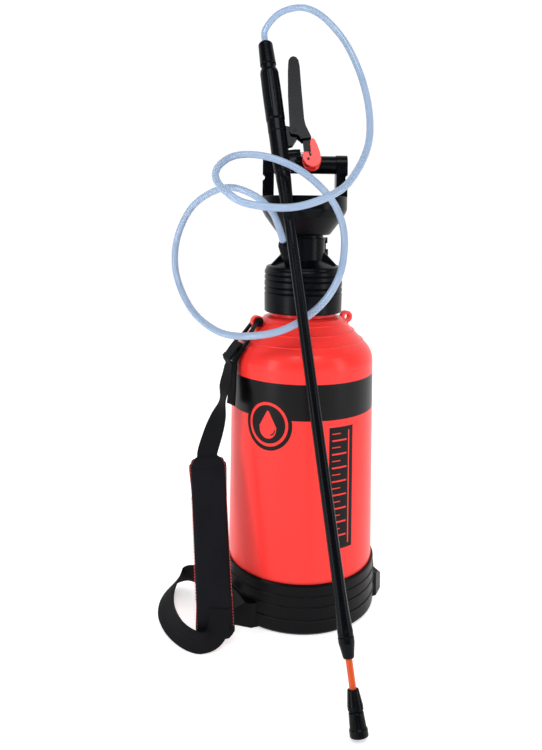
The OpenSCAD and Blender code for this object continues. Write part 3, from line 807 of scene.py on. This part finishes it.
def spread(values: Sequence[Vector], steps: int) -> list[Vector]:
    """Directions carried smoothly over the same steps as a smooth line."""
    return [v.normalized() for v in smooth_line(values, steps)]


def vectors(rows: Iterable[Sequence[float]], unit: float = MM) -> list[Vector]:
    """Rows of numbers as vectors, in metres."""
    return [Vector(row) * unit for row in rows]


# ---- the wand's axis ----


@dataclass(frozen=True)
class WandAxis:
    """Where the leaning wand lies."""

    lean: float = math.radians(20.6)
    tilt: float = math.radians(7.5)
    foot: tuple[float, float] = (0.0483, -0.260)
    nozzle_r: float = 0.00925

    def matrix(self) -> Matrix:
        """Turns a point on the wand's own axis into the row frame.

        Returns:
            The matrix.
        """
        rise = math.cos(self.lean) * math.cos(self.tilt)
        z = self.nozzle_r * math.sqrt(1 - rise * rise)
        return (Matrix.Translation((*self.foot, z)) @ Matrix.Rotation(-self.lean, 4, "X")
                @ Matrix.Rotation(-self.tilt, 4, "Y"))

    def point(self, s: float) -> Vector:
        """The point at height s along the axis."""
        return self.matrix() @ Vector((0, 0, s))


# ---- hose ----


@dataclass
class Hose:
    """The hose, from the outlet nut on the collar to the cap on the wand."""

    diameter: float = 0.009
    length: float = 1.47
    outlet_r: float = 0.032
    outlet_z: float = 0.444
    outlet_l: float = 0.0340
    outlet_tilt: float = math.radians(30)
    outlet_azimuth: float = math.radians(235)
    cap_top: float = 0.7945
    rounds: int = 20
    route: tuple[tuple[float, float, float], ...] = (
        (-34, -49, 492), (-44, -58, 513), (-66, -60, 532), (-98, -46, 542), (-131, -21, 531),
        (-155, -2, 509), (-171, 9, 472), (-172, 6, 433), (-158, -12, 399), (-135, -38, 374),
        (-101, -70, 360), (-61, -93, 362), (-21, -102, 374), (17, -94, 400), (40, -80, 434),
        (47, -70, 470), (43, -68, 502), (27, -73, 531), (-1, -79, 557), (-31, -78, 573),
        (-62, -74, 581), (-90, -79, 579), (-107, -96, 566), (-109, -118, 550), (-96, -137, 534),
        (-70, -147, 520), (-18, -150, 517), (31, -133, 535), (56, -110, 561), (73, -84, 598),
        (76, -58, 642), (68, -34, 689), (50, -14, 735), (24, 1, 770), (0, 14, 787),
        (-23, 22, 788), (-42, 26, 779), (-56, 24, 759))

    def outlet(self) -> Vector:
        """The point where the hose leaves its nut.

        Returns:
            The point.
        """
        r = self.outlet_r + self.outlet_l * math.sin(self.outlet_tilt)
        return Vector((r * math.cos(self.outlet_azimuth), r * math.sin(self.outlet_azimuth),
                       self.outlet_z + self.outlet_l * math.cos(self.outlet_tilt)))

    def build(self) -> bpy.types.Object:
        """Returns:
            The finished piece or pieces.
        """
        points = [self.outlet(), *vectors(self.route), WandAxis().point(self.cap_top)]
        line = smooth_line(points, 9)
        r = self.diameter / 2
        ring = [(r * math.cos(a), r * math.sin(a))
                for a in (math.tau * k / self.rounds for k in range(self.rounds))]
        piece = swept("braided_hose", line, ring, carried(line, Vector((0, 0, 1))))
        dress(piece, Slot.HOSE)
        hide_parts("hose")
        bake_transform(piece)
        return piece


# ---- strap ----


@dataclass
class Strap:
    """Webbing of the strap: its upper stretch, its tail, its turn round the hook and its lower stretch."""

    width: float = 0.025
    thick: float = 0.0017
    upper: tuple[tuple[float, float, float], ...] = (
        (-95, -44, 317), (-97, -47, 308), (-99, -52, 292), (-102, -58, 274), (-107, -64, 254),
        (-113, -68, 234), (-119, -72, 213), (-118.5, -74.5, 203))
    upper_sides: tuple[tuple[float, float, float], ...] = (
        (0.42, -0.9, 0), (0.45, -0.9, 0), (0.6, -0.8, 0), (0.3, -0.95, 0), (0.8, -0.6, 0), (1, -0.2, 0),
        (1, 0, 0), (1, 0, 0))
    tail: tuple[tuple[float, float, float], ...] = (
        (-89, -42.5, 315), (-90, -44, 302), (-90.5, -46, 286), (-92, -48, 266))
    tail_sides: tuple[tuple[float, float, float], ...] = (
        (0.42, -0.9, 0), (0.42, -0.9, 0), (0.45, -0.9, 0), (0.5, -0.87, 0))
    lower: tuple[tuple[float, float, float], ...] = (
        (-97.5, -120.3, 46), (-98, -124, 33), (-100.5, -128, 22), (-107, -132, 15.5), (-118, -135, 13.5),
        (-133, -128, 13.5), (-148, -112, 13), (-161, -88, 11.5), (-170, -60, 10), (-172, -32, 11),
        (-166, -8, 14), (-154, 3, 19), (-140, -4, 24), (-128, -22, 27), (-118, -38, 26), (-110, -46.5, 24.5),
        (-101, -46, 25), (-96.4, -44.8, 20), (-95.5, -44.5, 10), (-95.5, -44.5, 4))
    lower_sides: tuple[tuple[float, float, float], ...] = (
        (-1, 0, 0), (-1, 0, 0), (-0.85, 0, 0.5), (-0.4, 0, 0.9), (0.1, 0, 1), (0.2, 0.15, 1), (0.4, 0.25, 1),
        (0.9, 0.25, 1), (1.3, 0.1, 1), (1.2, -0.3, 1), (0.7, -0.6, 1), (0.1, -0.4, 1), (-0.1, -0.1, 1),
        (-0.1, 0.4, 1), (-0.3, 0.7, 0.5), (-0.45, 0.88, 0.1), (-0.42, 0.91, 0), (-0.42, 0.91, 0),
        (-0.42, 0.91, 0), (-0.42, 0.91, 0))
    hook_turn: tuple[tuple[float, float], ...] = (
        (66, -5), (63.4, -2.6), (62.2, 1.5), (60, 4.3), (55, 4.7), (49, 4.9), (43.7, 5.0), (39, 4.6),
        (35.4, 2.4),
        (35.2, -1.0), (38, -3.4), (44, -4.0), (52, -4.6), (58, -6.2), (62, -9.6))

    def hook_place(self, x: float, z: float) -> Vector:
        """A point of the hook's own side view, in the row frame.

        Args:
            x: the place across.
            z: the place up.

        Returns:
            The point.
        """
        slope, turn = math.radians(50.6), math.radians(205)
        reach = 67 + x * math.cos(slope) + z * math.sin(slope)
        return Vector((reach * math.cos(turn), reach * math.sin(turn),
                       369 - x * math.sin(slope) + z * math.cos(slope))) * MM

    def band(self, name: str, route: Sequence[Sequence[float]], sides: Sequence[Sequence[float]],
             node: str, width: float) -> bpy.types.Object:
        """Builds one stretch of webbing in place of its CAD node.

        Args:
            name: the name it gets.
            route: the middle line's points, in millimetres.
            sides: the direction across at each point.
            node: the CAD node it stands for.
            width: the width across.

        Returns:
            The finished stretch.
        """
        line = smooth_line(vectors(route), 8)
        piece = swept(name, line, pill(width, self.thick), spread(vectors(sides, 1.0), 8))
        dress(piece, Slot.WEBBING)
        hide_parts(node)
        return piece

    def build(self) -> list[bpy.types.Object]:
        """Builds all the webbing.

        Returns:
            The finished piece or pieces.
        """
        upper = self.band("strap_upper_webbing", self.upper, self.upper_sides, "strap_upper", self.width)
        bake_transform(upper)
        tail = self.band("strap_tail_webbing", self.tail, self.tail_sides, "strap_tail", self.width - 0.003)
        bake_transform(tail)
        turn = smooth_line([self.hook_place(x, z) for x, z in self.hook_turn], 6)
        wrap = swept("strap_hook_webbing", turn, pill(self.width - 0.001, self.thick),
                     [Vector((0.4226, -0.9063, 0))] * len(turn))
        dress(wrap, Slot.WEBBING)
        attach(wrap, Body.HOOK.value)
        lower = self.band("strap_lower_webbing", self.lower, self.lower_sides, "strap_lower", self.width)
        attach(lower, Body.TANK.value)
        return [upper, tail, wrap, lower]


@dataclass
class ShoulderPad:
    """The padded shoulder piece: a foam-filled cover with stitched edges and a panel on its face."""

    low: tuple[float, float, float] = (-0.1015, -0.124, 0.008)
    high: tuple[float, float, float] = (-0.119, -0.073, 0.210)
    width: float = 0.051
    thick: float = 0.009
    voxel: float = 0.0032
    corner: float = 0.016
    swell_cap: float = 0.0022

    def matrix(self) -> Matrix:
        """Turns the pad's own lie (x across, y up its length, z out of its face) into the row frame.

        Returns:
            The matrix.
        """
        up = (Vector(self.high) - Vector(self.low)).normalized()
        across = Vector((1, 0, 0))
        across = (across - up * across.dot(up)).normalized()
        out = across.cross(up)
        return Matrix.Translation(self.low) @ Matrix((across, up, out)).transposed().to_4x4()

    def span(self) -> float:
        """The pad's length."""
        return (Vector(self.high) - Vector(self.low)).length

    def half_width(self, y: float) -> float:
        """Half the pad's width at height y along it.

        Args:
            y: the place along.

        Returns:
            Half the width.
        """
        end = min(y, self.span() - y)
        if end >= self.corner:
            return self.width / 2
        drop = self.corner - max(end, 0.0)
        return self.width / 2 - self.corner + math.sqrt(max(self.corner ** 2 - drop ** 2, 0.0))

    def crown(self, x: float, y: float) -> float:
        """Height of the pad's unswollen face over its middle plane.

        Args:
            x: the place across.
            y: the place along.

        Returns:
            The height.
        """
        half = max(self.half_width(y), 1e-4)
        edge = max(0.0, 1 - (abs(x) / half) ** 4)
        end = max(0.0, 1 - (abs(2 * y / self.span() - 1)) ** 14)
        return max((self.thick / 2 - 0.0012) * (edge ** 0.5) * (end ** 0.5), 0.0003)

    def press(self, x: float, y: float) -> float:
        """How deep the sewn channels and the puckers between stitches press the face in.

        Args:
            x: the place across.
            y: the place along.

        Returns:
            The depth.
        """
        rim = self.half_width(y) - abs(x)
        depth = 0.0013 * math.exp(-((rim - 0.0042) / 0.0012) ** 2)
        for bar in (0.0150, self.span() - 0.0150):
            if rim > 0.0042:
                depth = max(depth, 0.0012 * math.exp(-((y - bar) / 0.0011) ** 2))
        pucker = math.exp(-((rim - 0.0075) / 0.004) ** 2) * (0.5 + 0.5 * math.sin(y * 900)) * 0.00025
        sag = 0.0005 * noise.noise(Vector((x * 60, y * 38, 7.0)))
        return depth + pucker + sag

    def shell(self) -> bpy.types.Object:
        """Builds the pad's unswollen closed shell, in its own lie.

        Returns:
            The shell's object.
        """
        across, along = 30, 110
        verts: list[Vector] = []
        faces: list[tuple[int, ...]] = []
        for side in (1, -1):
            for j in range(along + 1):
                y = self.span() * (0.5 - 0.5 * math.cos(math.pi * j / along))
                half = self.half_width(y) - 0.0008
                for i in range(across + 1):
                    x = half * math.sin(math.pi * (i / across - 0.5))
                    rim = i in (0, across) or j in (0, along)
                    verts.append(Vector((x, y, 0.0 if rim else side * self.crown(x, y))))
        row, count = across + 1, (across + 1) * (along + 1)
        for j in range(along):
            for i in range(across):
                a = j * row + i
                faces.append((a, a + 1, a + row + 1, a + row))
                faces.append((count + a, count + a + row, count + a + row + 1, count + a + 1))
        return mesh_piece("shoulder_pad_cover", verts, faces)

    def swell(self, piece: bpy.types.Object) -> None:
        """Fills the shell with pressure by a cloth simulation, and caps how far it may move.

        Args:
            piece: the piece's object.
        """
        shape = bmesh.new()
        shape.from_mesh(piece.data)
        bmesh.ops.remove_doubles(shape, verts=shape.verts, dist=1e-5)
        shape.to_mesh(piece.data)
        shape.free()
        remesh = piece.modifiers.new("remesh", "REMESH")
        remesh.mode, remesh.voxel_size = "VOXEL", self.voxel
        settle(piece)
        start = [v.co.copy() for v in piece.data.vertices]
        cloth = piece.modifiers.new("cloth", "CLOTH")
        cloth.settings.quality = 6
        cloth.settings.use_pressure = True
        cloth.settings.uniform_pressure_force = 4.0
        cloth.settings.effector_weights.gravity = 0.0
        cloth.point_cache.frame_start, cloth.point_cache.frame_end = 1, 20
        for step in range(1, 21):
            bpy.context.scene.frame_set(step)
            bpy.context.view_layer.update()
        settle(piece)
        bpy.context.scene.frame_set(1)
        for vertex, place in zip(piece.data.vertices, start):
            move = vertex.co - place
            if move.length > self.swell_cap:
                vertex.co = place + move.normalized() * self.swell_cap
        finer = piece.modifiers.new("finer", "SUBSURF")
        finer.levels = finer.render_levels = 1
        settle(piece)

    def build(self) -> bpy.types.Object:
        """Builds the pad: swollen by simulation, then sewn.

        Returns:
            The finished piece or pieces.
        """
        piece = self.shell()
        self.swell(piece)
        limit = self.thick / 2 + 0.0022
        for vertex in piece.data.vertices:
            x, y, z = vertex.co
            side = 1 if z > 0 else -1
            face = min(abs(z) / 0.002, 1.0)
            z -= side * face * self.press(x, min(max(y, 0.0), self.span()))
            vertex.co = (x, y, max(-limit, min(limit, z)))
        piece.data.transform(self.matrix())
        piece.data.update()
        piece.data.polygons.foreach_set("use_smooth", [True] * len(piece.data.polygons))
        dress(piece, Slot.PAD)
        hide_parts("shoulder_pad")
        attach(piece, Body.TANK.value)
        self.face = bvh_of(piece)
        return piece

    def on_face(self, x: float, y: float) -> Vector:
        """The point of the finished pad's face over a place of its own lie, in the row frame.

        Args:
            x: the place across.
            y: the place along.

        Returns:
            The point.
        """
        to_row = self.matrix()
        start = to_row @ Vector((x, y, 0.05))
        hit = self.face.ray_cast(start, to_row.to_3x3() @ Vector((0, 0, -1)))
        return hit[0] if hit[0] is not None else to_row @ Vector((x, y, self.thick / 2))

    def seam_line(self) -> list[Vector]:
        """The edge stitching's two lines on the pad's face, one after the other, in the row frame.

        Returns:
            The points, right side first.
        """
        inset, low, high = 0.0042, 0.0170, self.span() - 0.0062
        steps = 160
        heights = [low + (high - low) * k / steps for k in range(steps + 1)]
        right = [self.on_face(self.half_width(y) - inset, y) for y in heights]
        left = [self.on_face(inset - self.half_width(y), y) for y in heights]
        return right + left

    def stitches(self) -> bpy.types.Object:
        """Sews the red stitches round the face with a Geometry Nodes tree.

        Returns:
            The stitches' object.
        """
        points = self.seam_line()
        half = len(points) // 2
        curve = bpy.data.curves.new("seam", "CURVE")
        curve.dimensions = "3D"
        for part in (points[:half], points[half:]):
            spline = curve.splines.new("POLY")
            spline.points.add(len(part) - 1)
            for place, p in zip(spline.points, part):
                place.co = (*p, 1.0)
        source = bpy.data.objects.new("seam", curve)
        bpy.context.scene.collection.objects.link(source)
        made = StitchRow().along(source, "pad_stitches", Thread().material())
        bpy.data.objects.remove(source)
        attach(made, Body.TANK.value)
        return made


@dataclass
class StitchRow:
    """Geometry Nodes: short stitches laid along curves, one after another."""

    spacing: float = 0.0034
    size: float = 0.0021
    thickness: float = 0.00050

    def tree(self, material: bpy.types.Material) -> bpy.types.NodeTree:
        """Builds the node tree, with its sizes as named inputs.

        Args:
            material: the material it wears.

        Returns:
            The node tree.
        """
        tree = bpy.data.node_groups.new("stitch_row", "GeometryNodeTree")
        face = tree.interface
        face.new_socket("Geometry", in_out="INPUT", socket_type="NodeSocketGeometry")
        for name in ("Spacing", "Stitch length", "Thread radius"):
            face.new_socket(name, in_out="INPUT", socket_type="NodeSocketFloat")
        face.new_socket("Geometry", in_out="OUTPUT", socket_type="NodeSocketGeometry")
        new, link = tree.nodes.new, tree.links.new
        start, end = new("NodeGroupInput"), new("NodeGroupOutput")
        points = new("GeometryNodeCurveToPoints")
        points.mode = "LENGTH"
        stitch = new("GeometryNodeMeshCylinder")
        stitch.inputs["Vertices"].default_value = 6
        stitch.fill_type = "NGON"
        swell = new("GeometryNodeInstanceOnPoints")
        real, paint = new("GeometryNodeRealizeInstances"), new("GeometryNodeSetMaterial")
        paint.inputs["Material"].default_value = material
        link(start.outputs["Geometry"], points.inputs["Curve"])
        link(start.outputs["Spacing"], points.inputs["Length"])
        link(start.outputs["Thread radius"], stitch.inputs["Radius"])
        link(start.outputs["Stitch length"], stitch.inputs["Depth"])
        link(points.outputs["Points"], swell.inputs["Points"])
        link(stitch.outputs["Mesh"], swell.inputs["Instance"])
        link(points.outputs["Rotation"], swell.inputs["Rotation"])
        link(swell.outputs["Instances"], real.inputs[0])
        link(real.outputs[0], paint.inputs["Geometry"])
        link(paint.outputs["Geometry"], end.inputs["Geometry"])
        return tree

    def along(self, source: bpy.types.Object, name: str, material: bpy.types.Material) -> bpy.types.Object:
        """Lays stitches along a curve object and turns them into a mesh.

        Args:
            source: the curve object.
            name: the new piece's name.
            material: the thread.

        Returns:
            The stitches as one mesh object.
        """
        tree = self.tree(material)
        modifier = source.modifiers.new("stitches", "NODES")
        modifier.node_group = tree
        sizes = {"Spacing": self.spacing, "Stitch length": self.size, "Thread radius": self.thickness}
        for item in tree.interface.items_tree:
            if item.in_out == "INPUT" and item.name in sizes:
                modifier[item.identifier] = sizes[item.name]
        bpy.context.view_layer.update()
        graph = bpy.context.evaluated_depsgraph_get()
        mesh = bpy.data.meshes.new_from_object(source.evaluated_get(graph))
        mesh.name = name
        piece = bpy.data.objects.new(name, mesh)
        bpy.context.scene.collection.objects.link(piece)
        source.modifiers.remove(modifier)
        return piece


# ---- CAD nodes that stay ----


@dataclass
class CadFinish:
    """Gives the CAD nodes that stay their detailed materials."""

    by_slot: dict[str, str] = field(default_factory=dict)
    dark_pins: tuple[str, ...] = ("lever_pin", "clip_pin")

    def build(self) -> int:
        """Dresses every node by its slot in the record.

        Returns:
            How many nodes were dressed.
        """
        slots = {s["node"]: s["material_slot"] for s in frame["record"]["subparts"]}
        for name, node in frame["nodes"].items():
            material = MATERIALS[Slot.BLACK if name in self.dark_pins else Slot(slots[name])]
            node.data.materials.clear()
            node.data.materials.append(material)
            self.by_slot[name] = material.name
        return len(slots)


# ---- studio ----


@dataclass
class Studio:
    """Pale floor, soft lights and the camera."""

    eye: tuple[float, float, float] = (-0.0441, -0.9148, 0.5091)
    pitch: float = math.radians(1.0)
    roll: float = math.radians(0.78)
    lens: float = 32.85
    shift_y: float = -0.199
    dim: float = 0.20

    def light(self, name: str, place: tuple[float, float, float], aim: tuple[float, float, float],
              size: tuple[float, float], power: float, tint: Colour = (1, 1, 1)) -> None:
        """Adds a rectangular soft light.

        Args:
            name: the name it gets.
            place: the place of the lamp.
            aim: the point it shines at.
            size: its two sides.
            power: its power in watts.
            tint: its colour.
        """
        data = bpy.data.lights.new(name, "AREA")
        data.shape = "RECTANGLE"
        data.size, data.size_y = size
        data.energy = power
        data.color = tint
        lamp = bpy.data.objects.new(name, data)
        bpy.context.scene.collection.objects.link(lamp)
        lamp.location = place
        lamp.rotation_euler = (Vector(aim) - Vector(place)).to_track_quat("-Z", "Y").to_euler()

    def room(self) -> None:
        """Makes the world: a white wall behind the object and a dim room in front of it."""
        world = bpy.data.worlds.new("studio")
        bpy.context.scene.world = world
        world.use_nodes = True
        nodes, links = world.node_tree.nodes, world.node_tree.links
        look = nodes.new("ShaderNodeTexCoord")
        split = nodes.new("ShaderNodeSeparateXYZ")
        ramp = nodes.new("ShaderNodeValToRGB")
        ramp.color_ramp.elements[0].position, ramp.color_ramp.elements[0].color = 0.05, (self.dim,) * 3 + (1,)
        ramp.color_ramp.elements[1].position, ramp.color_ramp.elements[1].color = 0.35, (1.05,) * 3 + (1,)
        links.new(look.outputs["Generated"], split.inputs[0])
        links.new(split.outputs[1], ramp.inputs[0])
        links.new(ramp.outputs[0], nodes["Background"].inputs["Color"])

    def build(self) -> None:
        """Makes the floor, the lights, the world and the camera."""
        floor = mesh_piece("floor", vectors([(-9, -9, 0), (9, -9, 0), (9, 9, 0), (-9, 9, 0)], 1.0),
                           [(0, 1, 2, 3)], smooth=False)
        floor.data.materials.append(PaleFloor().material())
        self.light("left_softbox", (-1.35, -1.15, 0.62), (0, 0, 0.30), (0.40, 1.5), 12.0)
        self.light("right_softbox", (1.6, -0.9, 0.75), (0, 0, 0.3), (0.40, 1.5), 9.0)
        self.light("top_softbox", (0.1, -1.5, 2.2), (0, 0, 0.3), (1.6, 0.8), 26.0)
        self.room()
        data = bpy.data.cameras.new("camera")
        data.lens = self.lens
        data.sensor_width = 36.0
        data.shift_y = self.shift_y
        data.clip_start, data.clip_end = 0.01, 50
        camera = bpy.data.objects.new("camera", data)
        bpy.context.scene.collection.objects.link(camera)
        turn = Matrix.Rotation(math.pi / 2 - self.pitch, 4, "X") @ Matrix.Rotation(self.roll, 4, "Z")
        camera.matrix_world = Matrix.Translation(self.eye) @ turn
        bpy.context.scene.camera = camera
        bpy.context.scene.view_settings.view_transform = "Standard"


def main() -> None:
    """Builds every sub-assembly in order."""
    logging.basicConfig(level=logging.INFO, format="%(message)s")
    dressed = CadFinish().build()
    log.info("dressed %d CAD nodes", dressed)
    Studio().build()
    hose = Hose().build()
    log.info("%s: %d faces", hose.name, len(hose.data.polygons))
    for band in Strap().build():
        log.info("%s: %d faces", band.name, len(band.data.polygons))
    pad = ShoulderPad()
    log.info("%s: %d faces", pad.build().name, len(pad.stitches().data.polygons))


if __name__ == "__main__":
    main()
